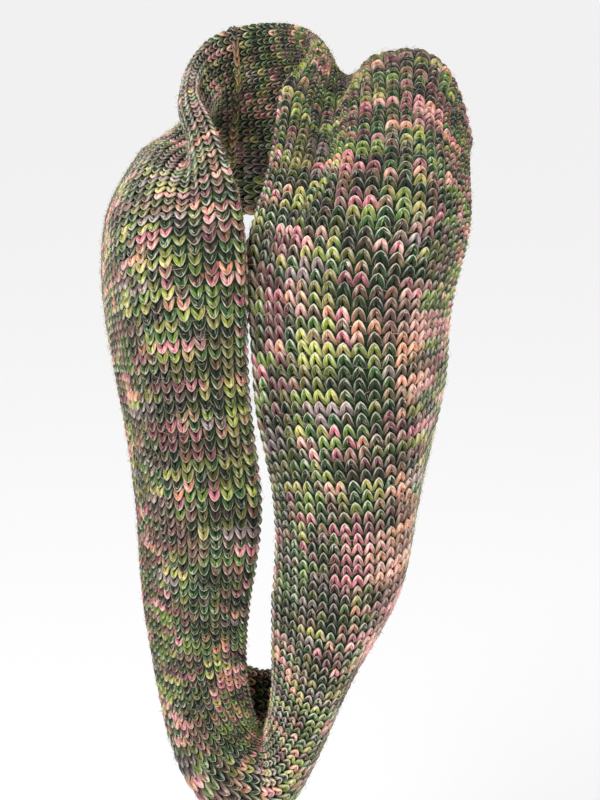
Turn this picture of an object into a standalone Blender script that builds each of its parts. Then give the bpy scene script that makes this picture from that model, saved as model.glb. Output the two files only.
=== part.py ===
"""Infinity scarf: one long knitted tube, its ends joined in a ring, worn as a single loop.

The tube lies flat, so its wall is two layers of chunky knit with a soft fold along each side.
It stands up round the neck, goes over both shoulders, comes down in front in two panels and
turns at the bottom in a shallow pocket. Lengths are metres, +Z is up and the wearer faces -Y.
The origin is where the nape carries the scarf, on its inner face. Left and right are the wearer's.
"""

import math

import bmesh
import bpy
import numpy as np

MM = 0.001

# Driving sizes of the flat tube.
TUBE_THICKNESS = 17 * MM  # two layers of knit, each about 8.5 mm
EDGE_ROUNDING = 15 * MM  # how far in from a side fold the wall reaches its full thickness
SEAM_GAP = 0.3 * MM  # least clear space where one stretch meets the next

# How finely the surface is faceted.
EDGE_STEPS = 3
FACE_STEPS = 15
RINGS_PER_SECTION = 4
SPLINE_STEPS = 24

# The tube's cross sections, in order round the loop, in millimetres. Each row gives the middle
# of the wall at the inner fold (next to the neck, and next to the other panel in front), at the
# near and far third of the width, and at the outer fold.
SECTIONS = (
    # name                inner fold         near third         far third          outer fold
    ("nape",              (-8, 7, 48),       (0, 12, -13),      (3, 45, -80),      (5, 88, -155)),
    ("nape left",         (44, -28, 41),     (76, -8, -15),     (122, 30, -50),    (150, 68, -115)),
    ("left shoulder",     (66, -78, 24),     (84, -52, 6),      (166, -45, 16),    (200, -8, -78)),
    ("left collarbone",   (58, -132, 3),     (90, -118, -20),   (165, -108, 0),    (210, -50, -62)),
    ("left chest high",   (57, -160, -36),   (105, -165, -47),  (184, -170, -49),  (219, -88, -98)),
    ("left chest",        (51, -187, -100),  (119, -210, -95),  (195, -218, -101), (226, -122, -136)),
    ("left chest low",    (22, -165, -145),  (130, -240, -160), (195, -232, -166), (217, -145, -195)),
    ("left rib",          (33, -184, -231),  (132, -248, -225), (195, -235, -230), (211, -140, -260)),
    ("left waist high",   (46, -205, -304),  (143, -252, -297), (196, -230, -302), (193, -130, -336)),
    ("left waist",        (79, -231, -380),  (150, -252, -370), (193, -215, -378), (166, -120, -415)),
    ("left waist low",    (77, -227, -455),  (150, -247, -453), (178, -200, -468), (122, -110, -498)),
    ("left hip",          (74, -220, -534),  (131, -240, -548), (124, -180, -572), (80, -100, -567)),
    ("turn from left",    (69, -212, -590),  (94, -228, -642),  (84, -165, -664),  (47, -97, -592)),
    ("bottom",            (58, -205, -613),  (53, -214, -690),  (28, -150, -740),  (16, -92, -606)),
    ("turn to right",     (47, -205, -593),  (9, -217, -668),   (-27, -160, -703), (-14, -97, -595)),
    ("right hip",         (43, -212, -537),  (-5, -230, -573),  (-55, -175, -601), (-54, -100, -577)),
    ("right waist low",   (51, -214, -462),  (0, -240, -470),   (-64, -190, -491), (-80, -108, -515)),
    ("right waist",       (61, -216, -385),  (4, -246, -383),   (-57, -208, -402), (-92, -118, -427)),
    ("right waist high",  (52, -213, -307),  (1, -246, -306),   (-58, -218, -314), (-103, -125, -344)),
    ("right rib",         (46, -209, -233),  (-5, -240, -228),  (-66, -218, -237), (-114, -135, -270)),
    ("right chest low",   (45, -204, -161),  (-9, -228, -157),  (-74, -206, -167), (-133, -112, -210)),
    ("right chest",       (30, -183, -98),   (-23, -186, -102), (-89, -163, -115), (-141, -88, -160)),
    ("right collarbone",  (-15, -137, -36),  (-44, -125, -66),  (-92, -104, -80),  (-150, -42, -142)),
    ("right shoulder",    (-52, -87, -8),    (-69, -68, -53),   (-117, -40, -84),  (-142, 20, -150)),
    ("nape right",        (-60, -26, 30),    (-64, -12, -33),   (-97, 22, -88),    (-108, 70, -155)),
)

# Troughs that run along the tube: the section where each starts, is deepest and ends, how far it
# lies from the inner fold, and its depth and half width, in millimetres. A bulge has a depth
# under 0.
LONG_FOLDS = (
    # name                    start  deepest  end    from fold  depth  half width
    ("left collar roll",      0.5,   2.6,     7.2,   50,        18,    30),
    ("right collar roll",     19.4,  22.6,    24.7,  50,        14,    27),
    ("right collar bulge",    21.6,  23.1,    24.6,  20,        -5,    20),
    ("left front trough",     6.8,   9.4,     12.2,  66,        3,     30),
    ("right front trough",    15.6,  18.0,    20.6,  150,       4,     36),
    ("upper back left",       0.2,   1.0,     2.2,   135,       6,     38),
    ("upper back right",      23.2,  24.2,    25.3,  120,       6,     38),
    ("left edge roll high",   4.8,   6.2,     8.6,   0,         20,    34),
    ("left edge roll low",    6.4,   8.0,     9.3,   0,         16,    30),
)

# Pinches that run across the tube from its inner fold: the section they lie on, their half width
# in sections, how far across they reach and their depth, in millimetres.
CROSS_FOLDS = (
    # name             section  half width  reach  depth
    ("bottom pinch",   13.0,    0.75,       110,   9),
)

# The stretches of the loop, from section to section, with the mean colour of the yarn in each.
# The two that meet behind the neck, right of the nape, meet at the join of the tube's ends.
JOIN = 24.45
STRETCHES = (
    # name           first  last    red    green  blue
    ("neck_left",    JOIN,  27.5,   0.105, 0.130, 0.060),
    ("left_front",   2.5,   11.0,   0.160, 0.170, 0.085),
    ("bottom_bend",  11.0,  15.0,   0.110, 0.115, 0.070),
    ("right_front",  15.0,  22.5,   0.130, 0.145, 0.080),
    ("neck_right",   22.5,  JOIN,   0.110, 0.125, 0.065),
)
YARN_ROUGHNESS = 0.9
TINY_STEP = 0.01  # of a section, for slopes along the loop


def clear_scene():
    for obj in list(bpy.data.objects):
        bpy.data.objects.remove(obj, do_unlink=True)


def bell(distance):
    """1 at distance 0, falling smoothly to 0 at distance 1 and beyond."""
    return 0.5 + 0.5 * np.cos(np.pi * np.clip(np.abs(distance), 0.0, 1.0))


def spline_piece(start, end, bend_start, bend_end, span, at):
    """The point at distance `at` along one cubic piece of length `span`."""
    left = span - at
    return (
        (bend_start * left**3 + bend_end * at**3) / (6 * span)
        + (start / span - bend_start * span / 6) * left
        + (end / span - bend_end * span / 6) * at
    )


def closed_spline(rows):
    """The knot spacing and bends of a smooth closed curve through the rows."""
    count = len(rows)
    middle = rows.reshape(count, 4, 3).mean(axis=1)
    steps = np.linalg.norm(np.roll(middle, -1, axis=0) - middle, axis=1)
    spans = np.sqrt(steps)
    system = np.zeros((count, count))
    slopes = np.zeros_like(rows)
    for i in range(count):
        before, after = spans[i - 1], spans[i]
        following = (i + 1) % count
        system[i, i - 1] += before
        system[i, i] += 2 * (before + after)
        system[i, following] += after
        slopes[i] = 6 * ((rows[following] - rows[i]) / after - (rows[i] - rows[i - 1]) / before)
    return spans, np.linalg.solve(system, slopes)


SECTION_ROWS = np.array([np.ravel(row[1:]) for row in SECTIONS], float) * MM
SECTION_COUNT = len(SECTIONS)
SPANS, BENDS = closed_spline(SECTION_ROWS)


def section_points(place):
    """The four points across the tube at a place along the loop, counted in sections."""
    place = place % SECTION_COUNT
    i = int(place)
    following = (i + 1) % SECTION_COUNT
    at = (place - i) * SPANS[i]
    row = spline_piece(
        SECTION_ROWS[i], SECTION_ROWS[following], BENDS[i], BENDS[following], SPANS[i], at
    )
    return row.reshape(4, 3)


def open_spline(points):
    """A fine polyline on the smooth open curve through the points."""
    spans = np.sqrt(np.linalg.norm(np.diff(points, axis=0), axis=1))
    count = len(points)
    system = np.eye(count)
    slopes = np.zeros_like(points)
    for i in range(1, count - 1):
        system[i, i - 1] = spans[i - 1]
        system[i, i] = 2 * (spans[i - 1] + spans[i])
        system[i, i + 1] = spans[i]
        ahead = (points[i + 1] - points[i]) / spans[i]
        behind = (points[i] - points[i - 1]) / spans[i - 1]
        slopes[i] = 6 * (ahead - behind)
    bends = np.linalg.solve(system, slopes)
    curve = [points[0]]
    for i in range(count - 1):
        for step in range(1, SPLINE_STEPS + 1):
            at = spans[i] * step / SPLINE_STEPS
            curve.append(
                spline_piece(points[i], points[i + 1], bends[i], bends[i + 1], spans[i], at)
            )
    return np.array(curve)


def spread_across(width):
    """Distances from the inner fold, closer together where the wall rounds off at each side."""
    turns = np.linspace(0, math.pi / 2, EDGE_STEPS + 1)
    near = EDGE_ROUNDING * (1 - np.cos(turns))
    flat = np.linspace(EDGE_ROUNDING, width - EDGE_ROUNDING, FACE_STEPS + 1)
    return np.concatenate([near[:-1], flat, width - near[-2::-1]])


def flat_section(place):
    """Points across the middle of the wall, before folds, and their distances from the fold."""
    curve = open_spline(section_points(place))
    lengths = np.linalg.norm(np.diff(curve, axis=0), axis=1)
    along = np.concatenate([[0.0], np.cumsum(lengths)])
    distances = spread_across(along[-1])
    points = np.stack([np.interp(distances, along, curve[:, k]) for k in range(3)], axis=-1)
    return points, distances


def outward(section, place):
    """Unit normals, away from the body, of a surface given as a function of the place."""
    ahead = section(place + TINY_STEP)
    behind = section(place - TINY_STEP)
    normals = np.cross(ahead - behind, np.gradient((ahead + behind) / 2, axis=0))
    return normals / np.linalg.norm(normals, axis=1, keepdims=True)


def loop_distance(place, section):
    """How far a place lies past a section, the short way round the loop."""
    half = SECTION_COUNT / 2
    return (place - section + half) % SECTION_COUNT - half


def fold_depth(place, distances):
    """How far each point across the tube is pushed in towards the body by the folds."""
    depth = np.zeros_like(distances)
    for _, start, deepest, end, offset, deep, half_width in LONG_FOLDS:
        past = loop_distance(place, deepest)
        reach = end - deepest if past > 0 else deepest - start
        across = bell((distances - offset * MM) / (half_width * MM))
        depth += deep * MM * bell(past / reach) * across
    for _, section, half_width, reach, deep in CROSS_FOLDS:
        along = bell(loop_distance(place, section) / half_width)
        depth += deep * MM * along * bell(distances / (reach * MM))
    return depth


def folded_section(place):
    points, distances = flat_section(place)
    normals = outward(lambda at: flat_section(at)[0], place)
    return points - normals * fold_depth(place, distances)[:, None]


def wall_ring(place):
    """The outer-face and inner-face points of the wall at a place; they meet at both folds."""
    points = folded_section(place)
    normals = outward(folded_section, place)
    distances = flat_section(place)[1]
    from_edge = np.minimum(distances, distances[-1] - distances)
    rounding = np.clip(1 - from_edge / EDGE_ROUNDING, 0, 1)
    half = TUBE_THICKNESS / 2 * np.sqrt(1 - rounding**2)
    return points + normals * half[:, None], points - normals * half[:, None]


def ring_places(first, last):
    """Places along one stretch, short of its ends so that the seam gap stays clear."""
    if last < first:
        last += SECTION_COUNT
    count = max(2, round((last - first) * RINGS_PER_SECTION))
    places = np.linspace(first, last, count + 1)
    for end, inward in ((0, 1), (-1, -1)):
        step = section_points(places[end] + TINY_STEP) - section_points(places[end])
        slowest = np.linalg.norm(step, axis=1).min() / TINY_STEP
        places[end] += inward * SEAM_GAP / slowest
    return places


def yarn_material(name, colour):
    material = bpy.data.materials.new(name)
    material.use_nodes = True
    shader = material.node_tree.nodes["Principled BSDF"]
    shader.inputs["Base Color"].default_value = (*colour, 1)
    shader.inputs["Roughness"].default_value = YARN_ROUGHNESS
    shader.inputs["Metallic"].default_value = 0
    material.diffuse_color = (*colour, 1)
    return material


def make_stretch(name, first, last, colour, collection):
    """One stretch of the flat tube as a closed wall, lofted through its rings."""
    mesh = bmesh.new()
    rings = []
    for place in ring_places(first, last):
        front, back = wall_ring(place)
        outer = [mesh.verts.new(point) for point in front]
        inner = [mesh.verts.new(point) for point in back[1:-1]]
        rings.append((outer, [outer[0], *inner, outer[-1]]))
    for (outer_a, inner_a), (outer_b, inner_b) in zip(rings, rings[1:]):
        for j in range(len(outer_a) - 1):
            mesh.faces.new((outer_a[j], outer_b[j], outer_b[j + 1], outer_a[j + 1]))
            mesh.faces.new((inner_a[j], inner_a[j + 1], inner_b[j + 1], inner_b[j]))
    for outer, inner in (rings[0], rings[-1]):
        for j in range(len(outer) - 1):
            corners = (outer[j], outer[j + 1], inner[j + 1], inner[j])
            mesh.faces.new(dict.fromkeys(corners))
    bmesh.ops.recalc_face_normals(mesh, faces=mesh.faces)
    data = bpy.data.meshes.new(name)
    mesh.to_mesh(data)
    mesh.free()
    data.shade_smooth()
    data.set_sharp_from_angle(angle=math.radians(50))
    data.materials.append(yarn_material(f"{name}_yarn", colour))
    collection.objects.link(bpy.data.objects.new(name, data))


def main():
    clear_scene()
    collection = bpy.data.collections.new("Infinity scarf")
    bpy.context.scene.collection.children.link(collection)
    for name, first, last, *colour in STRETCHES:
        make_stretch(name, first, last, colour, collection)


if __name__ == "__main__":
    main()
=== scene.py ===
"""Infinity scarf: a chunky knitted tube, its ends joined in a ring, worn as one long loop.

Every stitch is modelled: one plump horseshoe of yarn is shaped, repeated in flat panels and laid
on the tube, 44 stitches round. Lengths are metres, +Z is up and the wearer faces -Y. Places along
the loop are counted in the sections of the table below, and in rows of stitches from the join.
"""

import math

import bpy
import numpy as np
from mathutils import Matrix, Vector


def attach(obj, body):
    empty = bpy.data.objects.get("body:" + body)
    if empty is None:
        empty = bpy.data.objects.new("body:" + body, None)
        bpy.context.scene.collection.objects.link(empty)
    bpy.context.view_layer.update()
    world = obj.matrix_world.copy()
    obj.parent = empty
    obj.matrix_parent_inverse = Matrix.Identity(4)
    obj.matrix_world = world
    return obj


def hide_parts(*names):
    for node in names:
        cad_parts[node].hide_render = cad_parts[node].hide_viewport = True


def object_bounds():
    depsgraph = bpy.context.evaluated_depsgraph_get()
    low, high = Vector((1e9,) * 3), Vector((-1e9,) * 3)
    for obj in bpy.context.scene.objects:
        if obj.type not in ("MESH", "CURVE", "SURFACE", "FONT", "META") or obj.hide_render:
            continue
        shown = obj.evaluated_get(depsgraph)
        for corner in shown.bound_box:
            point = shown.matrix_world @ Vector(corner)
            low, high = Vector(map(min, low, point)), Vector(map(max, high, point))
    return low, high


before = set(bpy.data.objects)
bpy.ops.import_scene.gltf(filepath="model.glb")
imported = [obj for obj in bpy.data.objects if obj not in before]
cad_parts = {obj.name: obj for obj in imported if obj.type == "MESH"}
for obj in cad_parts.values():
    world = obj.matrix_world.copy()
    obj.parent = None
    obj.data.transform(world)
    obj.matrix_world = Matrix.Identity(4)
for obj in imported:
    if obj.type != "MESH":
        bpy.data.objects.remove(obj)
CAD_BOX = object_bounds()

bl_info = {
    "name": "Infinity Scarf",
    "version": (1, 0, 0),
    "blender": (4, 5, 0),
    "location": "View3D > Sidebar > Scarf",
    "description": "Knits the infinity scarf stitch by stitch on its frame",
    "category": "Add Mesh",
}

MM = 0.001

# The tube's cross sections, in order round the loop, in millimetres. Each row gives the middle
# of the wall at the inner fold (next to the neck, and next to the other panel in front), at the
# near and far third of the width, and at the outer fold.
SECTIONS = (
    # name                inner fold         near third         far third          outer fold
    ("nape",              (-8, 7, 48),       (0, 12, -13),      (3, 45, -80),      (5, 88, -155)),
    ("nape left",         (44, -28, 41),     (76, -8, -15),     (122, 30, -50),    (150, 68, -115)),
    ("left shoulder",     (66, -78, 24),     (84, -52, 6),      (166, -45, 16),    (200, -8, -78)),
    ("left collarbone",   (58, -132, 3),     (90, -118, -20),   (165, -108, 0),    (210, -50, -62)),
    ("left chest high",   (57, -160, -36),   (105, -165, -47),  (184, -170, -49),  (219, -88, -98)),
    ("left chest",        (51, -187, -100),  (119, -210, -95),  (195, -218, -101), (226, -122, -136)),
    ("left chest low",    (22, -165, -145),  (130, -240, -160), (195, -232, -166), (217, -145, -195)),
    ("left rib",          (33, -184, -231),  (132, -248, -225), (195, -235, -230), (211, -140, -260)),
    ("left waist high",   (46, -205, -304),  (143, -252, -297), (196, -230, -302), (193, -130, -336)),
    ("left waist",        (79, -231, -380),  (150, -252, -370), (193, -215, -378), (166, -120, -415)),
    ("left waist low",    (77, -227, -455),  (150, -247, -453), (178, -200, -468), (122, -110, -498)),
    ("left hip",          (74, -220, -534),  (131, -240, -548), (124, -180, -572), (80, -100, -567)),
    ("turn from left",    (69, -212, -590),  (94, -228, -642),  (84, -165, -664),  (47, -97, -592)),
    ("bottom",            (58, -205, -613),  (53, -214, -690),  (28, -150, -740),  (16, -92, -606)),
    ("turn to right",     (47, -205, -593),  (9, -217, -668),   (-27, -160, -703), (-14, -97, -595)),
    ("right hip",         (43, -212, -537),  (-5, -230, -573),  (-55, -175, -601), (-54, -100, -577)),
    ("right waist low",   (51, -214, -462),  (0, -240, -470),   (-64, -190, -491), (-80, -108, -515)),
    ("right waist",       (61, -216, -385),  (4, -246, -383),   (-57, -208, -402), (-92, -118, -427)),
    ("right waist high",  (52, -213, -307),  (1, -246, -306),   (-58, -218, -314), (-103, -125, -344)),
    ("right rib",         (46, -209, -233),  (-5, -240, -228),  (-66, -218, -237), (-114, -135, -270)),
    ("right chest low",   (45, -204, -161),  (-9, -228, -157),  (-74, -206, -167), (-133, -112, -210)),
    ("right chest",       (30, -183, -98),   (-23, -186, -102), (-89, -163, -115), (-141, -88, -160)),
    ("right collarbone",  (-15, -137, -36),  (-44, -125, -66),  (-92, -104, -80),  (-150, -42, -142)),
    ("right shoulder",    (-52, -87, -8),    (-69, -68, -53),   (-117, -40, -84),  (-142, 20, -150)),
    ("nape right",        (-60, -26, 30),    (-64, -12, -33),   (-97, 22, -88),    (-108, 70, -155)),
)

# Troughs that run along the tube: the section where each starts, is deepest and ends, how far it
# lies from the inner fold, and its depth and half width, in millimetres. A bulge has a depth
# under 0.
LONG_FOLDS = (
    # name                    start  deepest  end    from fold  depth  half width
    ("left collar roll",      0.5,   2.6,     7.2,   50,        18,    30),
    ("right collar roll",     19.4,  22.6,    24.7,  50,        14,    27),
    ("right collar bulge",    21.6,  23.1,    24.6,  20,        -5,    20),
    ("left front trough",     6.8,   9.4,     12.2,  66,        3,     30),
    ("right front trough",    15.6,  18.0,    20.6,  150,       4,     36),
    ("upper back left",       0.2,   1.0,     2.2,   135,       6,     38),
    ("upper back right",      23.2,  24.2,    25.3,  120,       6,     38),
    ("left edge roll high",   4.8,   6.2,     8.6,   0,         20,    34),
    ("left edge roll low",    6.4,   8.0,     9.3,   0,         16,    30),
)

# Pinches that run across the tube from its inner fold: the section they lie on, their half width
# in sections, how far across they reach and their depth, in millimetres.
CROSS_FOLDS = (
    # name             section  half width  reach  depth
    ("bottom pinch",   13.0,    0.75,       110,   9),
)

# The stretches of the loop, from section to section. The first and last meet at the join.
JOIN = 24.45
STRETCHES = (
    # node           first  last
    ("neck_left",    JOIN,  27.5),
    ("left_front",   27.5,  36.0),
    ("bottom_bend",  36.0,  40.0),
    ("right_front",  40.0,  47.5),
    ("neck_right",   47.5,  JOIN + len(SECTIONS)),
)

# The knit's gauge round the loop: the height of a row at each section, in millimetres.
GAUGE = (
    # name              section  row height
    ("nape",            0.0,     9.1),
    ("left shoulder",   2.0,     7.3),
    ("left chest high", 4.0,     7.0),
    ("left chest",      5.3,     7.2),
    ("left rib",        7.0,     8.9),
    ("left waist",      9.0,     10.8),
    ("left waist low",  10.0,    10.6),
    ("left hip",        11.2,    9.2),
    ("bottom",          13.0,    8.6),
    ("right hip",       15.0,    8.2),
    ("right waist",     17.0,    9.3),
    ("right rib",       19.0,    8.4),
    ("right chest",     21.0,    7.6),
    ("right shoulder",  23.0,    8.9),
)

# Half of one stitch, from the middle of its base to the tip that the next stitch covers: the
# middle of the strand across the column, along it and up from the tube's surface, the strand's
# radius and its heading from straight across, in millimetres and degrees.
HALF_STITCH = (
    # across  along  up     radius  heading
    (0.0,     -1.5,  -1.4,  1.6,    0),
    (1.2,     0.1,   -1.2,  1.9,    54),
    (2.3,     2.7,   -1.2,  2.15,   64),
    (3.5,     6.3,   -2.1,  2.15,   70),
    (4.5,     10.8,  -4.6,  1.6,    78),
)
STRAND_SIDES = 5

# What counts as the stitch's middle, and what closes a seam between points, in millimetres.
MIDLINE_TOLERANCE = 0.001
MERGE_DISTANCE = 0.1

# A stitch's yarn runs from 0 at one tip to 1 at the other, and its base is half way.
STITCH_BASE = 0.5

# How an uneven stitch shows it: the share of its unevenness that leans it, that makes it taller
# and that shifts it along its column, how far below its place it leans from, in rows, and how
# high a whole row of shift would raise it, in millimetres.
LEAN_SHARE = 0.6
TALLER_SHARE = 0.6
SHIFT_SHARE = 0.5
LEAN_FROM = 0.3
SHIFT_RISE = 3

# The faces of the stitches' backs round the tube, for two columns of the knit.
BACK_FACES = 3

# Loose fibres: how far apart they are modelled, in lengths of one, the least share of the mean
# length and of the height that one has, how much thinner its tip is than its root, the share
# that have a free end and how steeply those curve up, how far roots stray from the surface, in
# millimetres, and how far all stay from the ends of a stretch, in rows.
FIBRE_SPACING = 2
LEAST_LENGTH = 0.5
LEAST_LIFT = 0.3
FIBRE_TAPER = 0.6
FREE_SHARE = 0.5
FREE_CURVE = 1.5
ROOT_STRAY = 1
END_MARGIN = 0.3

# How small a share of the first force may be left over when the knit has settled.
RELAX_TOLERANCE = 1e-9

# Where one dye of the yarn pools: the section and column at the middle of the patch, how far it
# reaches each way, in sections and columns, and how strongly the dye takes over.
POOLS = (
    # name                 section  column  sections  columns  strength  dye
    ("pink inner edge",    6.4,     5.5,    0.9,      2.4,     0.8,      "pink"),
    ("peach outer edge",   6.6,     15.4,   1.4,      3.5,     0.8,      "peach"),
    ("peach low edge",     8.8,     13.0,   1.1,      2.9,     0.7,      "peach"),
    ("blush low edge",     10.2,    12.0,   1.3,      4.2,     0.75,     "blush"),
    ("rose low strip",     9.5,     6.6,    1.3,      3.2,     0.5,      "rose"),
    ("peach low front",    9.3,     9.6,    0.8,      3.0,     0.5,      "peach"),
    ("lime middle",        7.1,     8.4,    0.9,      2.6,     0.6,      "lime"),
    ("dark middle",        7.2,     11.7,   0.6,      2.4,     0.6,      "bottle"),
    ("straw collar",       4.3,     2.8,    1.0,      2.6,     0.5,      "straw"),
    ("blush shoulder",     3.5,     14.1,   0.45,     2.4,     0.7,      "blush"),
    ("pink chest",         5.1,     14.3,   0.35,     2.6,     0.7,      "pink"),
    ("dark inner edge",    9.8,     2.6,    1.4,      2.4,     0.65,     "bottle"),
    ("dark edge high",     6.2,     2.2,    1.2,      2.2,     0.7,      "bottle"),
    ("lime low strip",     11.0,    8.2,    0.7,      2.6,     0.5,      "lime"),
    ("lime right edge",    18.3,    2.1,    1.3,      2.1,     0.75,     "lime"),
    ("pink right high",    20.3,    8.2,    0.25,     3.1,     0.75,     "pink"),
    ("pink right upper",   18.95,   6.0,    0.2,      4.4,     0.8,      "pink"),
    ("pink right middle",  18.45,   6.6,    0.2,      4.6,     0.8,      "pink"),
    ("pink right lower",   17.9,    7.2,    0.22,     4.6,     0.8,      "pink"),
    ("mauve right low",    16.8,    9.4,    1.0,      4.6,     0.42,     "mauve"),
    ("dark right low",     16.1,    4.6,    1.3,      4.6,     0.5,      "bottle"),
    ("taupe right side",   18.2,    12.5,   1.0,      3.6,     0.5,      "taupe"),
    ("blush right chest",  20.9,    5.0,    0.35,     3.6,     0.6,      "blush"),
    ("peach right roll",   21.3,    1.8,    0.7,      2.2,     0.6,      "peach"),
    ("mauve collar roll",  23.3,    0.0,    0.5,      2.9,     0.6,      "mauve"),
    ("dark collar",        0.0,     42.3,   1.1,      4.4,     0.5,      "bottle"),
)
LEAST_POOL = 1e-6

# The dyes in the order that one runs into the next along the yarn, and those of the join.
DYE_ORDER = (
    "mauve", "brown", "black_green", "bottle", "forest", "leaf", "lime", "straw", "olive", "forest",
    "bottle", "black_green", "brown", "taupe", "peach", "blush", "pink", "rose", "brown", "bottle",
    "forest", "leaf",
)
JOIN_DYES = ("brown", "olive", "peach", "straw", "peach", "olive", "brown")

# The patterns that vary the yarn from stitch to stitch: how far each runs on for a column, for a
# row and for one stitch's length of yarn, where it starts, and its detail.
PATTERNS = {
    # name          column  row   yarn  start  detail
    "run of dye":   (0.0,   0.02, 0.17, 0.0,   1.5),
    "patches":      (0.2,   0.34, 0.0,  3.7,   1.0),
    "depth of dye": (0.22,  0.4,  0.0,  8.1,   0.5),
}
PATTERN_MIDDLE = 0.5
LIVELY_SCALE = 0.8

# How far the patterns move the dye, as shares of the whole order: all over, and in a pool. The
# edge of a pool is ragged by the run of the dye, and the second ply is dyed a little further on.
RUN_MOVES = 1.1
PATCH_MOVES = 2.8
RUN_MOVES_POOL = 0.2
PATCH_MOVES_POOL = 0.25
RAGGED_EDGE = 1.1
SECOND_PLY_SHIFT = 0.025

# The twist of the yarn for one stitch's length of it, in radians, and the size of the plies and
# of the wool's streaks round the strand and along it.
TWIST = 5.0
PLIES_ROUND = 1.1
PLIES_ALONG = 3.1
STREAKS_ALONG = 3.4
STREAKS_START = 9.0

# Where the pale strand and the painted highlight lie round each strand: how far to the outside of the
# stitch, how far up and how wavy.
CREAM_AND_HIGHLIGHT_OUT = 0.95
CREAM_AND_HIGHLIGHT_UP = 0.38
CREAM_AND_HIGHLIGHT_WAVE = 0.5

# The smooth steps from what varies on the yarn to its dye, shade and light, some of it painted shade
# and a painted highlight: the levels where each starts and ends, and what it gives at them.
SMOOTH_STEPS = {
    # name                starts  ends  first  last
    "pool":               (0.3,   0.5,  0.0,   1.0),
    "second ply":         (0.45,  0.55, 0.0,   1.0),
    "shade of streaks":   (0.38,  0.6,  0.42,  1.08),
    "shade of depth":     (0.39,  0.61, 0.42,  1.75),
    # Painted shade: darker towards the tips, where the legs run under the next stitch, and on the
    # inner sides of the strands.
    "painted shade at tips":      (0.1,   0.42, 1.12,  0.75),
    "painted shade inside":    (-0.9,  0.1,  0.8,   1.0),
    # The cream strand with a painted highlight on the raised outer side of each stitch's base, and the
    # pale threads, both dimmed towards the tips by painted shade.
    "strand":             (0.64,  0.78, 0.0,   1.0),
    "cream and highlight by stitch":   (0.3,   0.5,  0.55,  1.0),
    "cream and highlight at tips":     (0.12,  0.38, 1.0,   0.25),
    "thread":             (0.6,   0.66, 0.0,   1.0),
    "thread under painted shade at tips":     (0.1,   0.4,  0.9,   0.3),
    "light of depth":     (0.39,  0.61, 0.48,  0.84),
    "green fibres":       (0.4,   0.6,  0.0,   1.0),
}

# The patterns of the stitches' backs and of the loose fibres, a metre.
BACK_PATCHES = 60
BACK_LOOPS = 400
FIBRE_PATCHES = 90

# Where the studio's lights stand, with their size in metres and their power in watts, and where
# they aim.
LIGHTS = (
    # name    place               size  power
    ("key",   (-0.9, -1.8, 1.5),  1.2,  26),
    ("fill",  (1.6, -1.4, 0.6),   1.5,  6),
)
LIGHTS_AIM = (0.05, -0.1, -0.3)

# The floor's size in metres, far past what is seen of it, and its colour.
FLOOR_SIZE = 200
FLOOR_COLOUR = (0.92, 0.92, 0.92)


def bell(distance):
    """1 at distance 0, falling smoothly to 0 at distance 1 and beyond."""
    return 0.5 + 0.5 * np.cos(np.pi * np.clip(np.abs(distance), 0.0, 1.0))


def past_middle(value, middle, cycle):
    """How far a value lies past a middle, the shorter way round a cycle."""
    return (value - middle + cycle / 2) % cycle - cycle / 2


def spline_piece(start, end, bend_start, bend_end, span, at):
    """The point at distance `at` along one cubic piece of length `span`."""
    left = span - at
    return (
        (bend_start * left**3 + bend_end * at**3) / (6 * span)
        + (start / span - bend_start * span / 6) * left
        + (end / span - bend_end * span / 6) * at
    )


def closed_spline(rows):
    """The knot spacing and bends of a smooth closed curve through the rows."""
    count = len(rows)
    middle = rows.reshape(count, 4, 3).mean(axis=1)
    spans = np.sqrt(np.linalg.norm(np.roll(middle, -1, axis=0) - middle, axis=1))
    system = np.zeros((count, count))
    slopes = np.zeros_like(rows)
    for i in range(count):
        before, after = spans[i - 1], spans[i]
        following = (i + 1) % count
        system[i, i - 1] += before
        system[i, i] += 2 * (before + after)
        system[i, following] += after
        slopes[i] = 6 * ((rows[following] - rows[i]) / after - (rows[i] - rows[i - 1]) / before)
    return spans, np.linalg.solve(system, slopes)


def open_splines(points, steps):
    """Fine polylines on the smooth open curves through each set of four points."""
    spans = np.sqrt(np.linalg.norm(np.diff(points, axis=1), axis=2))
    s0, s1, s2 = spans.T
    system = np.stack([2 * (s0 + s1), s1, s1, 2 * (s1 + s2)], axis=1).reshape(-1, 2, 2)
    slope = np.diff(points, axis=1) / spans[:, :, None]
    inner = np.linalg.solve(system, 6 * np.diff(slope, axis=1))
    bends = np.pad(inner, ((0, 0), (1, 1), (0, 0)))
    curve = [points[:, :1]]
    for i in range(3):
        at = spans[:, i, None, None] * np.arange(1, steps + 1)[None, :, None] / steps
        ends = (points[:, i, None], points[:, i + 1, None], bends[:, i, None], bends[:, i + 1, None])
        curve.append(spline_piece(*ends, spans[:, i, None, None], at))
    return np.concatenate(curve, axis=1)


def resample(curves, distances, lengths):
    """Points on each polyline at the given distances along it."""
    return np.stack(
        [
            np.stack([np.interp(want, along, curve[:, k]) for k in range(3)], axis=-1)
            for curve, want, along in zip(curves, distances, lengths)
        ]
    )


def lengths_along(curves):
    """How far along each polyline its points lie."""
    steps = np.linalg.norm(np.diff(curves, axis=1), axis=2)
    return np.pad(np.cumsum(steps, axis=1), ((0, 0), (1, 0)))


def unit(vectors):
    return vectors / np.linalg.norm(vectors, axis=-1, keepdims=True)


def cotangent(corner, first, second):
    """The cotangent of the angle at a corner between the lines to two other points."""
    a, b = first - corner, second - corner
    return (a * b).sum(axis=-1) / np.linalg.norm(np.cross(a, b), axis=-1)


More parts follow.
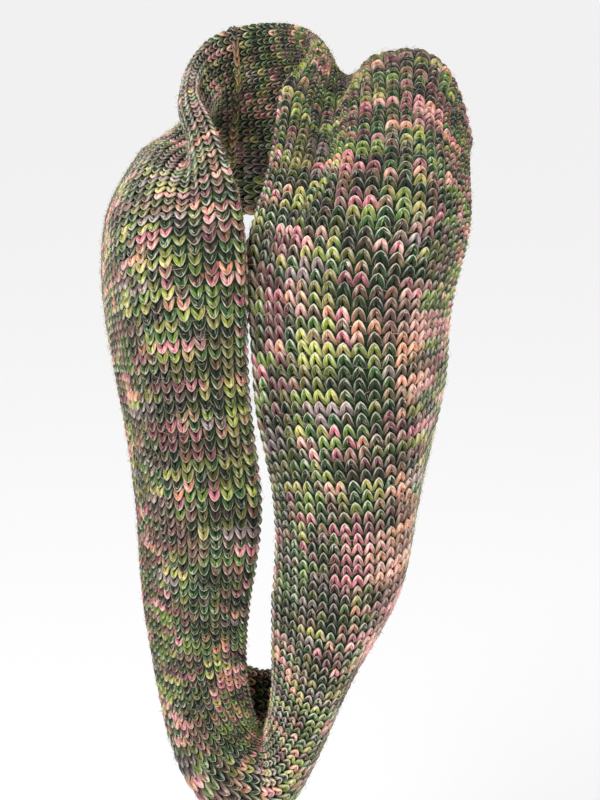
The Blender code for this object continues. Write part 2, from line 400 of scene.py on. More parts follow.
def edge_weights(grid):
    """How firmly a closed grid of points is tied along, around and across its cells."""
    below = np.roll(grid, -1, axis=0)
    beside = np.roll(grid, -1, axis=1)
    opposite = np.roll(below, -1, axis=1)
    along = cotangent(opposite, grid, below) + np.roll(cotangent(grid, beside, opposite), 1, axis=1)
    around = cotangent(opposite, grid, beside) + np.roll(cotangent(grid, below, opposite), 1, axis=0)
    across = cotangent(below, grid, opposite) + cotangent(beside, grid, opposite)
    return {(1, 0): along / 2, (0, 1): around / 2, (1, 1): across / 2}


def relax(weights, steps):
    """What must be added to a count over a closed grid, given by its steps, to spread it evenly."""

    def pull(values):
        total = np.zeros_like(values)
        for shift, weight in weights.items():
            ahead = np.roll(values, (-shift[0], -shift[1]), axis=(0, 1))
            flow = weight * (values - ahead)
            total += flow - np.roll(flow, shift, axis=(0, 1))
        return total

    # Conjugate gradients: each pass moves against the force left over, until next to none is.
    force = np.zeros_like(weights[1, 0])
    for shift, weight in weights.items():
        flow = weight * (shift[0] * steps[0] + shift[1] * steps[1])
        force += flow - np.roll(flow, shift, axis=(0, 1))
    stiffness = sum(w + np.roll(w, shift, axis=(0, 1)) for shift, w in weights.items())
    added = np.zeros_like(force)
    left = force.copy()
    guided = left / stiffness
    direction = guided.copy()
    size = start = (left * guided).sum()
    while size > start * RELAX_TOLERANCE:
        pulled = pull(direction)
        move = size / (direction * pulled).sum()
        added += move * direction
        left -= move * pulled
        guided = left / stiffness
        size, before = (left * guided).sum(), size
        direction = guided + direction * size / before
    return added - added.mean()


class Tube:
    """The surface of the scarf's flat tube, looked up by row of stitches and turn round it.

    Turn 0 is the inner fold, 0.5 the outer fold, and the outer face lies between them.
    """

    # Steps of the surface, along the loop and across the flat tube
    PLACES_PER_SECTION = 32
    STEPS_ACROSS = 72
    STEPS_PER_THIRD = 24
    STEPS_ROUND_FOLD = 8
    # The knit settles on every fourth step, looked up twice a stitch, in passes that each move
    # it a share of the way
    SETTLE_STEP = 4
    SETTLE_LOOKUPS = 2
    SETTLE_PASSES = 40
    SETTLE_SHARE = 0.4

    def __init__(self, knit):
        count = len(SECTIONS)
        places = np.arange(count * self.PLACES_PER_SECTION) / self.PLACES_PER_SECTION
        middle, distances = self.flat_sections(places, knit.edge_rounding)
        folded = middle - self.outward(middle) * self.fold_depth(places, distances)[..., None]
        normals = self.outward(folded)
        width = distances[:, -1:]
        from_edge = np.minimum(distances, width - distances)
        rounding = np.clip(1 - from_edge / knit.edge_rounding, 0, 1)
        half = (knit.tube_thickness / 2 * np.sqrt(1 - rounding**2))[..., None]
        outer = self.even(folded + normals * half)
        inner = self.even((folded - normals * half)[:, ::-1])
        self.points = np.concatenate([outer[:, :-1], inner[:, :-1]], axis=1)
        self.normals = self.ring_outward(self.points)
        self.settle(places, knit.columns)

    def flat_sections(self, places, rounding):
        """Points across the middle of the wall, before folds, and how far in each one lies."""
        rows = np.array([np.ravel(row[1:]) for row in SECTIONS], float) * MM
        spans, bends = closed_spline(rows)
        first = places.astype(int)
        second = (first + 1) % len(rows)
        span = spans[first][:, None]
        at = (places % 1)[:, None] * span
        across = spline_piece(rows[first], rows[second], bends[first], bends[second], span, at)
        curves = open_splines(across.reshape(-1, 4, 3), self.STEPS_PER_THIRD)
        lengths = lengths_along(curves)
        turns = np.linspace(0, math.pi / 2, self.STEPS_ROUND_FOLD + 1)
        near = rounding * (1 - np.cos(turns))
        flat_points = self.STEPS_ACROSS + 1 - 2 * self.STEPS_ROUND_FOLD
        distances = []
        for width in lengths[:, -1]:
            flat = np.linspace(rounding, width - rounding, flat_points)
            distances.append(np.concatenate([near[:-1], flat, width - near[-2::-1]]))
        distances = np.array(distances)
        return resample(curves, distances, lengths), distances

    def outward(self, grid):
        """Unit normals, away from the body, of a grid of places by points across."""
        along = np.roll(grid, -1, axis=0) - np.roll(grid, 1, axis=0)
        return unit(np.cross(along, np.gradient(grid, axis=1)))

    def ring_outward(self, grid):
        """Unit normals of a grid that closes both along the loop and round the tube."""
        along = np.roll(grid, -1, axis=0) - np.roll(grid, 1, axis=0)
        around = np.roll(grid, -1, axis=1) - np.roll(grid, 1, axis=1)
        return unit(np.cross(along, around))

    def fold_depth(self, places, distances):
        """How far each point across the tube is pushed in towards the body by the folds."""
        depth = np.zeros_like(distances)
        for _, start, deepest, end, offset, deep, half_width in LONG_FOLDS:
            past = past_middle(places, deepest, len(SECTIONS))
            reach = np.where(past > 0, end - deepest, deepest - start)
            across = bell((distances - offset * MM) / (half_width * MM))
            depth += deep * MM * bell(past / reach)[:, None] * across
        for _, section, half_width, reach, deep in CROSS_FOLDS:
            past = past_middle(places, section, len(SECTIONS))
            depth += deep * MM * bell(past / half_width)[:, None] * bell(distances / (reach * MM))
        return depth

    def even(self, curves):
        """The same curves with evenly spaced points."""
        lengths = lengths_along(curves)
        wanted = lengths[:, -1:] * np.linspace(0, 1, 2 * self.STEPS_ACROSS + 1)
        return resample(curves, wanted, lengths)

    def settle(self, places, columns):
        """Spreads the columns and the rows evenly over the surface, as the knit settles."""
        self.columns = columns
        # What evens out the columns round the tube and the lengths along it, on a coarse grid
        coarse = self.points[:: self.SETTLE_STEP, :: self.SETTLE_STEP]
        weights = edge_weights(coarse)
        steps = np.linalg.norm(np.roll(coarse, -1, axis=0) - coarse, axis=2).mean(axis=1)
        added_columns = relax(weights, (0.0, columns / coarse.shape[1]))
        added_length = relax(weights, (steps[:, None], 0.0))

        # The rows that the gauge puts between places and lengths, on two loops end to end, so
        # that a stretch can run past the table's last section, and counted from the join
        gauge = np.array([(row[1], row[2] * MM) for row in GAUGE])
        knots = np.append(places[:: self.SETTLE_STEP], len(SECTIONS))
        heights = np.interp(knots[:-1], *gauge.T, period=len(SECTIONS))
        rows = np.append(0.0, np.cumsum(steps / heights))
        self.rows = round(rows[-1])
        rows *= self.rows / rows[-1]
        lengths = np.append(0.0, np.cumsum(steps))
        self.length = lengths[-1]
        ends = (len(SECTIONS), self.length, self.rows)
        two_loops = [np.append(k, k[1:] + end) for k, end in zip((knots, lengths, rows), ends)]
        self.place_knots, self.length_knots, self.row_knots = two_loops
        self.row_knots = self.row_knots - np.interp(JOIN, self.place_knots, self.row_knots)

        # The same by column and row, found in passes, because it moves the point it is read at
        over_tube = np.stack([added_columns, added_length], axis=2)
        column, row = np.meshgrid(
            np.arange(columns * self.SETTLE_LOOKUPS) / self.SETTLE_LOOKUPS,
            np.arange(self.rows * self.SETTLE_LOOKUPS) / self.SETTLE_LOOKUPS,
        )
        self.added = np.zeros((*row.shape, 2))
        for _ in range(self.SETTLE_PASSES):
            there = self.look_up(over_tube, *self.move(column, row, self.added))
            self.added += self.SETTLE_SHARE * (there - self.added)

    def row_at(self, place):
        return float(np.interp(place, self.place_knots, self.row_knots))

    def place_after(self, place, length):
        """The place that lies a length further round the loop than another."""
        start = np.interp(place, self.place_knots, self.length_knots)
        return np.interp((start + length) % self.length, self.length_knots, self.place_knots)

    def move(self, column, row, added):
        """The turn and place of a point of the knit, from what its counts had added to them."""
        length = np.interp(row % self.rows, self.row_knots, self.length_knots)
        place = np.interp((length - added[..., 1]) % self.length, self.length_knots, self.place_knots)
        return (column - added[..., 0]) / self.columns, place

    def locate(self, column, row):
        """The turn and place of a point of the knit, given in columns and rows."""
        share = (row % self.rows) / self.rows * len(SECTIONS)
        return self.move(column, row, self.look_up(self.added, column / self.columns, share))

    def look_up(self, grid, turn, place):
        """Values of a grid between its places and turns."""
        i = place * grid.shape[0] / len(SECTIONS)
        j = (turn % 1) * grid.shape[1]
        i0, j0 = np.floor(i).astype(int), np.floor(j).astype(int)
        fi, fj = (i - i0)[..., None], (j - j0)[..., None]
        i0, i1 = i0 % grid.shape[0], (i0 + 1) % grid.shape[0]
        j0, j1 = j0 % grid.shape[1], (j0 + 1) % grid.shape[1]
        near = grid[i0, j0] * (1 - fj) + grid[i0, j1] * fj
        far = grid[i1, j0] * (1 - fj) + grid[i1, j1] * fj
        return near * (1 - fi) + far * fi

    def lay(self, column, row, height):
        """Points of the knit at a height above the surface."""
        return self.lay_at(*self.locate(column, row), height)

    def lay_at(self, turn, place, height):
        """Points at a height above the surface, by turn and place."""
        normal = unit(self.look_up(self.normals, turn, place))
        return self.look_up(self.points, turn, place) + normal * height[..., None]


# ---------------------------------------------------------------- settings


def length_property(name, description, millimetres):
    """A length, with its default given in millimetres."""
    return bpy.props.FloatProperty(
        name=name, description=description, default=millimetres * MM, unit="LENGTH"
    )


def colour_property(name, red, green, blue):
    return bpy.props.FloatVectorProperty(
        name=name,
        description=f"{name} in the yarn's dye",
        subtype="COLOR",
        min=0,
        max=1,
        default=(red, green, blue),
    )


class KnitSettings(bpy.types.PropertyGroup):
    columns: bpy.props.IntProperty(
        name="Columns", description="Stitches round the tube, on both faces", default=44, min=8
    )
    tube_thickness: length_property("Tube thickness", "Two layers of knit", 17)
    edge_rounding: length_property(
        "Edge rounding", "How far in from a side fold the tube reaches its full thickness", 15
    )
    column_pitch: length_property("Column pitch", "Width of one stitch", 11.5)
    flat_column: length_property("Flat column", "Width of a column with the scarf laid flat", 10.6)
    row_pitch: length_property("Row pitch", "Height of one stitch", 10)
    unevenness: bpy.props.FloatProperty(
        name="Unevenness",
        description="How far a stitch strays from its place, as a share of its size",
        default=0.06,
        subtype="FACTOR",
    )
    backing_depth: length_property(
        "Backing depth", "How far the backs of the stitches lie under the surface", 4.4
    )


class SeamSettings(bpy.types.PropertyGroup):
    links: bpy.props.IntProperty(
        name="Links", description="Stitches of the join, round the tube", default=54, min=8
    )
    width: length_property("Width", "Width of the join", 11)
    rise: length_property("Rise", "How far the join stands above the knit", 1.6)


class FuzzSettings(bpy.types.PropertyGroup):
    density: bpy.props.FloatProperty(
        name="Density", description="Loose fibres for each stitch", default=1.5
    )
    length: length_property("Length", "Mean length of a fibre", 8)
    width: length_property("Width", "Width of a fibre at its root", 0.34)
    height: length_property("Height", "How far fibres stand off the yarn", 3.2)


class YarnSettings(bpy.types.PropertyGroup):
    black_green: colour_property("Black green", 0.018, 0.034, 0.012)
    bottle: colour_property("Bottle green", 0.024, 0.078, 0.020)
    forest: colour_property("Forest green", 0.066, 0.150, 0.028)
    leaf: colour_property("Leaf green", 0.150, 0.220, 0.030)
    olive: colour_property("Olive", 0.230, 0.215, 0.038)
    lime: colour_property("Lime", 0.320, 0.370, 0.050)
    taupe: colour_property("Taupe", 0.230, 0.165, 0.095)
    straw: colour_property("Straw", 0.540, 0.440, 0.150)
    peach: colour_property("Peach", 0.700, 0.280, 0.150)
    pink: colour_property("Pink", 0.640, 0.200, 0.250)
    blush: colour_property("Blush", 0.680, 0.390, 0.330)
    rose: colour_property("Rose", 0.400, 0.100, 0.130)
    mauve: colour_property("Mauve", 0.260, 0.185, 0.190)
    brown: colour_property("Brown", 0.130, 0.070, 0.040)
    # Also the colour of the painted highlight on the raised outer side of each stitch's base.
    cream: colour_property("Cream strand and highlight", 1.000, 0.940, 0.800)
    sheen: bpy.props.FloatProperty(
        name="Sheen", description="Soft light on the yarn's nap", default=0.08, subtype="FACTOR"
    )
    roughness: bpy.props.FloatProperty(
        name="Roughness", description="Roughness of the yarn", default=0.88, subtype="FACTOR"
    )


class StageSettings(bpy.types.PropertyGroup):
    azimuth: bpy.props.FloatProperty(
        name="Azimuth",
        description="How far the camera stands round to the wearer's left",
        default=math.radians(18),
        subtype="ANGLE",
    )
    elevation: bpy.props.FloatProperty(
        name="Elevation",
        description="How high the camera stands above the level of its target",
        default=math.radians(15),
        subtype="ANGLE",
    )
    distance: bpy.props.FloatProperty(
        name="Distance", description="From the camera to its target", default=1.7, unit="LENGTH"
    )
    target: bpy.props.FloatVectorProperty(
        name="Target",
        description="The point that the camera looks at",
        default=(0.053, -0.075, -0.317),
        subtype="XYZ",
    )
    lens: bpy.props.FloatProperty(
        name="Lens", description="Focal length in millimetres", default=76.5
    )
    floor_drop: bpy.props.FloatProperty(
        name="Floor drop",
        description="How far the floor lies under the scarf",
        default=0.30,
        unit="LENGTH",
    )
    daylight: bpy.props.FloatProperty(
        name="Daylight", description="Strength of the white light from all sides", default=0.95
    )


# ---------------------------------------------------------------- materials


class Wire:
    """A socket of a material, with arithmetic that adds Math nodes."""

    def __init__(self, finish, socket):
        self.finish = finish
        self.socket = socket

    def __add__(self, other):
        return self.finish.math("ADD", self, other)

    __radd__ = __add__

    def __sub__(self, other):
        return self.finish.math("SUBTRACT", self, other)

    def __rsub__(self, other):
        return self.finish.math("SUBTRACT", other, self)

    def __mul__(self, other):
        return self.finish.math("MULTIPLY", self, other)

    __rmul__ = __mul__


class Finish:
    """A material, built node by node."""

    def __init__(self, name):
        self.material = bpy.data.materials.new(name)
        self.material.use_nodes = True
        self.tree = self.material.node_tree
        self.shader = self.tree.nodes["Principled BSDF"]

    def node(self, kind, settings=None, inputs=None, output=0):
        """Adds a node, sets it, then feeds its sockets, and gives one of its outputs."""
        node = self.tree.nodes.new(kind)
        for key, value in (settings or {}).items():
            if key == "stops":
                self.set_stops(node.color_ramp, value)
            else:
                setattr(node, key, value)
        for key, value in (inputs or {}).items():
            self.feed(node.inputs[key], value)
        return Wire(self, node.outputs[output])

    def set_stops(self, ramp, stops):
        for position, colour in stops:
            at_end = position >= 1
            stop = ramp.elements[-1] if at_end else ramp.elements.new(position)
            stop.color = opaque(colour)
        ramp.elements.remove(ramp.elements[0])

    def feed(self, socket, value):
        if isinstance(value, Wire):
            self.tree.links.new(value.socket, socket)
        else:
            socket.default_value = value

    def math(self, operation, *values):
        return self.node("ShaderNodeMath", {"operation": operation}, dict(enumerate(values)))

    def step(self, name, value):
        """One of the smooth steps, taken by a value."""
        sockets = ("From Min", "From Max", "To Min", "To Max")
        inputs = dict(zip(sockets, SMOOTH_STEPS[name]), Value=value)
        return self.node("ShaderNodeMapRange", {"interpolation_type": "SMOOTHSTEP"}, inputs)

    def mix(self, factor, first, second, blend="MIX"):
        settings = {"data_type": "RGBA", "blend_type": blend}
        return self.node("ShaderNodeMix", settings, {0: factor, 6: first, 7: second}, output=2)

    def combine(self, x, y, z):
        return self.node("ShaderNodeCombineXYZ", None, {0: x, 1: y, 2: z})

    def attribute(self, name):
        """The three numbers of an attribute."""
        vector = self.node("ShaderNodeAttribute", {"attribute_name": name}, output="Vector")
        first = self.node("ShaderNodeSeparateXYZ", None, {0: vector})
        return [Wire(self, socket) for socket in first.socket.node.outputs]

    def noise(self, vector, scale, detail):
        return self.node(
            "ShaderNodeTexNoise",
            {"noise_dimensions": "3D"},
            {"Vector": vector, "Scale": scale, "Detail": detail},
        )

    def pattern(self, name, column, row, along_yarn):
        """One of the patterns that vary the yarn from stitch to stitch."""
        by_column, by_row, by_yarn, start, detail = PATTERNS[name]
        place = self.combine(column * by_column + along_yarn * by_yarn, row * by_row, start)
        return self.noise(place, 1.0, detail)

    def bump(self, height, strength, millimetres):
        """A normal roughened by a pattern."""
        inputs = {"Strength": strength, "Distance": millimetres * MM, "Height": height}
        return self.node("ShaderNodeBump", None, inputs)

    def surface(self, **values):
        """Feeds the sockets of the surface, and gives the finished material."""
        for name, value in values.items():
            self.feed(self.shader.inputs[name.replace("_", " ").title()], value)
        return self.material


def opaque(colour):
    return (*colour, 1)


def dye_stops(yarn, order):
    """Evenly spaced stops of a colour ramp through the named dyes."""
    last = len(order) - 1
    return [(i / last, tuple(getattr(yarn, name))) for i, name in enumerate(order)]


def yarn_finish(name, yarn, order):
    """Marled yarn: two dyed plies side by side, a thin cream one, and the streaks of the wool, with
    painted shade at the tips and inner sides of the strands and a painted highlight at the stitches'
    bases.
    """
    finish = Finish(name)
    column, row, along_yarn = finish.attribute("knit")
    cosine, sine, along = finish.attribute("strand")

    run = finish.pattern("run of dye", column, row, along_yarn) - PATTERN_MIDDLE
    patch = finish.pattern("patches", column, row, along_yarn) - PATTERN_MIDDLE
    depth = finish.pattern("depth of dye", column, row, along_yarn)
    tone = run * RUN_MOVES + patch * PATCH_MOVES + PATTERN_MIDDLE
    target, strength, _ = finish.attribute("pool")
    pooled = finish.step("pool", strength + run * RAGGED_EDGE)
    target = target + patch * PATCH_MOVES_POOL + run * RUN_MOVES_POOL
    stops = dye_stops(yarn, order)
    first_ply, second_ply = [
        finish.mix(
            pooled,
            finish.node("ShaderNodeValToRGB", {"stops": stops}, {0: tone + shift}),
            finish.node("ShaderNodeValToRGB", {"stops": stops}, {0: target + shift}),
        )
        for shift in (0.0, SECOND_PLY_SHIFT)
    ]

    turn = along_yarn * TWIST
    turned_x = cosine * finish.math("COSINE", turn) - sine * finish.math("SINE", turn)
    turned_y = cosine * finish.math("SINE", turn) + sine * finish.math("COSINE", turn)
    plies_at = (turned_x * PLIES_ROUND, turned_y * PLIES_ROUND, along_yarn * PLIES_ALONG)
    plies = finish.noise(finish.combine(*plies_at), 1.0, 0.0)
    colour = finish.mix(finish.step("second ply", plies), first_ply, second_ply)

    streaks_at = (turned_x, turned_y, along_yarn * STREAKS_ALONG + STREAKS_START)
    streaks = finish.noise(finish.combine(*streaks_at), 1.0, 2.0)
    to_tip = finish.math("ABSOLUTE", along - STITCH_BASE)
    shade = finish.step("shade of streaks", streaks) * finish.step("shade of depth", depth)
    # Painted shade: darker towards the tips, where the legs run under the next stitch, and on the
    # strands' inner sides, inside each stitch.
    shade = shade * finish.step("painted shade at tips", to_tip)
    shade = shade * finish.step("painted shade inside", cosine)
    colour = finish.mix(1.0, colour, finish.combine(shade, shade, shade), "MULTIPLY")

    # Painted highlight: the cream strand, partly real, is laid on the raised outer and upper side of
    # each stitch's base and fades towards the tips.
    cream_and_highlight_rim = cosine * CREAM_AND_HIGHLIGHT_OUT + sine * CREAM_AND_HIGHLIGHT_UP + (plies - PATTERN_MIDDLE) * CREAM_AND_HIGHLIGHT_WAVE
    lively = finish.noise(finish.combine(along_yarn, row, column), LIVELY_SCALE, 0.0)
    cream_and_highlight_strength = finish.step("cream and highlight by stitch", lively) * finish.step("cream and highlight at tips", to_tip)
    strand = finish.step("strand", cream_and_highlight_rim) * cream_and_highlight_strength
    thread = finish.step("thread", streaks) * finish.step("thread under painted shade at tips", to_tip)
    # The cream strand with its painted highlight and the pale threads, dimmed by painted shade at the
    # tips, are mixed over the dye.
    light = finish.math("MAXIMUM", strand, thread) * finish.step("light of depth", depth)
    return finish.surface(
        base_color=finish.mix(light, colour, opaque(yarn.cream)),
        roughness=yarn.roughness,
        sheen_weight=yarn.sheen,
        sheen_roughness=0.5,
        normal=finish.bump(streaks, strength=0.9, millimetres=1.2),
    )


def backing_finish(name, yarn):
    """The backs of the stitches, seen between the strands, in the yarn's darkest greens only: painted
    shade in the gaps, on top of the real shade there.
    """
    finish = Finish(name)
    place = finish.node("ShaderNodeTexCoord", output="Object")
    patches = finish.noise(place, BACK_PATCHES, 2.0)
    loops = finish.noise(place, BACK_LOOPS, 2.0)
    return finish.surface(
        # Painted shade: only the darkest greens, darker than the yarn itself, so the gaps between
        # strands read dark.
        base_color=finish.mix(patches, opaque(yarn.black_green), opaque(yarn.bottle)),
        roughness=0.95,
        normal=finish.bump(loops, strength=0.7, millimetres=1),
    )


def fibre_finish(name, yarn):
    """Loose fibres, pale with some of the yarn's greens."""
    finish = Finish(name)
    place = finish.node("ShaderNodeTexCoord", output="Object")
    green = finish.step("green fibres", finish.noise(place, FIBRE_PATCHES, 1.0))
    colour = finish.mix(green, opaque(yarn.blush), opaque(yarn.lime))
    return finish.surface(base_color=colour, roughness=0.9)


def floor_finish(name):
    return Finish(name).surface(base_color=opaque(FLOOR_COLOUR), roughness=0.9)


# ---------------------------------------------------------------- modelling


def select_only(obj):
    bpy.ops.object.select_all(action="DESELECT")
    obj.select_set(True)
    bpy.context.view_layer.objects.active = obj


def apply_modifier(obj, kind, **settings):
    select_only(obj)
    modifier = obj.modifiers.new(kind.title(), kind)
    for key, value in settings.items():
        setattr(modifier, key, value)
    bpy.ops.object.modifier_apply(modifier=modifier.name)


def edit_all(operator, **settings):
    """Runs an operator of edit mode on all of the active mesh."""
    bpy.ops.object.mode_set(mode="EDIT")
    bpy.ops.mesh.select_all(action="SELECT")
    operator(**settings)
    bpy.ops.object.mode_set(mode="OBJECT")


def read_triples(rows, name):
    values = np.empty(len(rows) * 3)
    rows.foreach_get(name, values)
    return values.reshape(-1, 3)


def read_points(mesh):
    return read_triples(mesh.vertices, "co")


def read_attribute(mesh, name):
    return read_triples(mesh.attributes[name].data, "vector")


def write_points(mesh, points):
    mesh.vertices.foreach_set("co", np.ascontiguousarray(points, dtype=np.float32).ravel())
    mesh.update()


def write_attribute(mesh, name, values):
    layer = mesh.attributes.new(name, "FLOAT_VECTOR", "POINT")
    layer.data.foreach_set("vector", np.ascontiguousarray(values, dtype=np.float32).ravel())


def model_stitch():
    """One stitch with its point towards -Y, extruded from its base to a tip and mirrored."""
    bpy.ops.object.select_all(action="DESELECT")
    across, along, up, radius, heading = HALF_STITCH[0]
    bpy.ops.mesh.primitive_circle_add(
        vertices=STRAND_SIDES,
        radius=radius * MM,
        location=(across * MM, along * MM, up * MM),
        rotation=(0, math.pi / 2, 0),
    )
    stitch = bpy.context.object
    bpy.ops.object.transform_apply()
    bpy.ops.object.mode_set(mode="EDIT")
    centre = Vector((across, along, up)) * MM
    for row in HALF_STITCH[1:]:
        following = Vector(row[:3]) * MM
        bpy.ops.mesh.extrude_region_move(TRANSFORM_OT_translate={"value": following - centre})
        centre = following
        turn = math.radians(row[4] - heading)
        bpy.ops.transform.rotate(value=-turn, orient_axis="Z", center_override=centre)
        ratio = row[3] / radius
        bpy.ops.transform.resize(value=(ratio, ratio, ratio), center_override=centre)
        radius, heading = row[3:]
    bpy.ops.mesh.edge_face_add()
    bpy.ops.object.mode_set(mode="OBJECT")
    apply_modifier(stitch, "MIRROR", merge_threshold=MERGE_DISTANCE * MM)
    edit_all(bpy.ops.mesh.normals_make_consistent, inside=False)
    bpy.ops.object.shade_smooth()
    stitch.name = "stitch"
    mark_strand(stitch.data)
    return stitch


def mark_strand(mesh):
    """Writes, at each point, the way it faces round the strand and how far along it lies.

    The way is a cosine, 1 towards the stitch's outside, and a sine, 1 up from the tube.
    """
    points = read_points(mesh) / MM
    side = np.where(points[:, 0] < -MIDLINE_TOLERANCE, -1.0, 1.0)
    half = points.copy()
    half[:, 0] *= side
    rings = np.array([row[:3] for row in HALF_STITCH])
    nearest = np.linalg.norm(half[:, None] - rings, axis=2).argmin(axis=1)
    offset = half - rings[nearest]
    heading = np.radians([HALF_STITCH[k][4] for k in nearest])
    outwards = offset[:, 0] * np.sin(heading) - offset[:, 1] * np.cos(heading)
    size = np.hypot(outwards, offset[:, 2])
    along = STITCH_BASE * (1 + side * nearest / (len(HALF_STITCH) - 1))
    write_attribute(mesh, "strand", np.stack([outwards / size, offset[:, 2] / size, along], axis=1))


def repeat(obj, count, offset):
    """Repeats a finished object in a line."""
    apply_modifier(
        obj,
        "ARRAY",
        count=count,
        use_relative_offset=False,
        use_constant_offset=True,
        constant_offset_displace=offset,
    )


def copy_as(obj, name):
    """A copy of an object with a mesh of its own."""
    select_only(obj)
    bpy.ops.object.duplicate()
    copy = bpy.context.object
    copy.name = name
    copy.data.name = name
    return copy


def knit_face(stitch, tube, knit, name, first_row, last_row, first_column):
    """One face of a stretch: a flat panel of stitches, laid on the tube."""
    panel = copy_as(stitch, name)
    columns = knit.columns // 2
    rows = last_row - first_row
    repeat(panel, columns, (knit.column_pitch, 0, 0))
    repeat(panel, rows, (0, knit.row_pitch, 0))
    points = read_points(panel.data).reshape(rows, columns, -1, 3)
    rng = np.random.default_rng([first_row, first_column])
    wider, lean, taller, shift = rng.normal(0, knit.unevenness, (4, rows, columns, 1))
    column = np.arange(columns)[None, :, None]
    row = np.arange(rows)[:, None, None]
    across = points[..., 0] / knit.column_pitch - column
    along = points[..., 1] / knit.row_pitch - row
    across = across * (1 + wider) + lean * LEAN_SHARE * (along + LEAN_FROM)
    along = along * (1 + taller * TALLER_SHARE) + shift * SHIFT_SHARE
    height = points[..., 2] * (1 + lean) + shift * SHIFT_RISE * MM
    stitch_column = first_column + columns - 1 - column
    placed = tube.lay(stitch_column - across, first_row + 0.5 + row + along, height)
    write_points(panel.data, placed.reshape(-1, 3))

    strand_along = read_attribute(panel.data, "strand").reshape(rows, columns, -1, 3)[..., 2]
    stitch_column = np.broadcast_to(stitch_column, strand_along.shape)
    stitch_row = np.broadcast_to(first_row + row, strand_along.shape)
    yarn = stitch_row * knit.columns + stitch_column + 1 - strand_along
    write_attribute(panel.data, "knit", np.stack([stitch_column, stitch_row, yarn], axis=-1))
    write_attribute(panel.data, "pool", pooled_dye(tube, stitch_column, stitch_row))
    return panel


def pooled_dye(tube, column, row):
    """The dye that pools at each point, by its place in the order, and how strongly."""
    turn, place = tube.locate(column, row + 0.5)
    columns = (turn % 1) * tube.columns
    total = np.full(column.shape, LEAST_POOL)
    target = np.zeros(column.shape)
    for _, section, middle, half_length, half_width, strength, dye in POOLS:
        past = past_middle(place, section, len(SECTIONS))
        aside = past_middle(columns, middle, tube.columns)
        weight = strength * bell(past / half_length) * bell(aside / half_width)
        total += weight
        target += weight * DYE_ORDER.index(dye) / (len(DYE_ORDER) - 1)
    return np.stack([target / total, np.minimum(total, 1), np.zeros(column.shape)], axis=-1)


def backing(tube, knit, name, first_row, last_row):
    """The backs of the stitches in one stretch, as a thin open-ended tube."""
    rows = last_row - first_row
    bpy.ops.object.select_all(action="DESELECT")
    bpy.ops.mesh.primitive_grid_add(
        x_subdivisions=knit.columns * BACK_FACES // 2,
        y_subdivisions=rows,
        size=1,
        location=(0.5, 0.5, 0),
    )
    cloth = bpy.context.object
    bpy.ops.object.transform_apply()
    cloth.name = name
    cloth.data.name = name
    flat = read_points(cloth.data)
    depth = np.full(len(flat), -knit.backing_depth)
    placed = tube.lay(-flat[:, 0] * knit.columns, first_row + rows * flat[:, 1], depth)
    write_points(cloth.data, placed)
    edit_all(bpy.ops.mesh.remove_doubles, threshold=MERGE_DISTANCE * MM)
    bpy.ops.object.shade_smooth()
    return cloth


def model_join(stitch, tube, knit, seam):
    """The sewn join of the tube's ends: a raised chain of stitches that runs round the tube."""
    chain = copy_as(stitch, "join")
    pitch = knit.row_pitch
    repeat(chain, seam.links, (0, pitch, 0))
    points = read_points(chain.data).reshape(seam.links, -1, 3)
    link = np.arange(seam.links)[:, None]
    along = points[..., 1] / pitch - link
    turn = (link + 0.5 + along) / seam.links
    place = tube.place_after(JOIN, points[..., 0] * seam.width / knit.column_pitch)
    write_points(chain.data, tube.lay_at(turn, place, points[..., 2] + seam.rise).reshape(-1, 3))
    strand_along = read_attribute(chain.data, "strand")[:, 2].reshape(seam.links, -1)
    none = np.zeros(strand_along.shape)
    knitted = np.stack([link + none, none, link + 1 - strand_along], axis=-1)
    write_attribute(chain.data, "knit", knitted)
    write_attribute(chain.data, "pool", np.zeros((*none.shape, 3)))
    return chain


def model_fibre():
    """One loose fibre along +X: a narrow strip one unit long."""
    bpy.ops.object.select_all(action="DESELECT")
    bpy.ops.mesh.primitive_grid_add(x_subdivisions=2, y_subdivisions=1, size=1)
    fibre = bpy.context.object
    bpy.ops.object.transform_apply()
    edit_all(bpy.ops.transform.translate, value=(0.5, 0, 0))
    fibre.name = "fibre"
    return fibre


def model_halo(fibre, tube, knit, fuzz, name, first_row, last_row):
    """The loose fibres that stand off one stretch of the knit."""
    count = round((last_row - first_row) * knit.columns * fuzz.density)
    halo = copy_as(fibre, name)
    repeat(halo, count, (FIBRE_SPACING, 0, 0))
    points = read_points(halo.data).reshape(count, -1, 3)
    rng = np.random.default_rng(first_row + 1)
    column, row, length, heading, roll, root, lift, free = rng.random((8, count, 1))
    along = points[..., 0] - FIBRE_SPACING * np.arange(count)[:, None]
    length = fuzz.length * (LEAST_LENGTH + length)
    side = points[..., 1] * fuzz.width * (1 - FIBRE_TAPER * along)
    heading = heading * math.tau
    roll = roll * math.pi
    run = along * length
    aside = side * np.cos(roll)
    arch = 4 * along * (1 - along)
    rise = np.where(free < FREE_SHARE, along**FREE_CURVE, arch) * fuzz.height * (LEAST_LIFT + lift)
    height = (root - 0.5) * ROOT_STRAY * MM + rise + side * np.sin(roll)
    across = run * np.cos(heading) - aside * np.sin(heading)
    up = run * np.sin(heading) + aside * np.cos(heading)
    columns = column * knit.columns + across / knit.column_pitch
    inside = END_MARGIN + row * (last_row - first_row - 2 * END_MARGIN)
    rows = first_row + inside + up / knit.row_pitch
    write_points(halo.data, tube.lay(columns, rows, height).reshape(-1, 3))
    return halo


def stretch_rows(tube):
    """The first and last row of each stretch."""
    edges = [0] + [round(tube.row_at(last)) for _, _, last in STRETCHES]
    return [(row[0], edges[i], edges[i + 1]) for i, row in enumerate(STRETCHES)]


# ---------------------------------------------------------------- operators


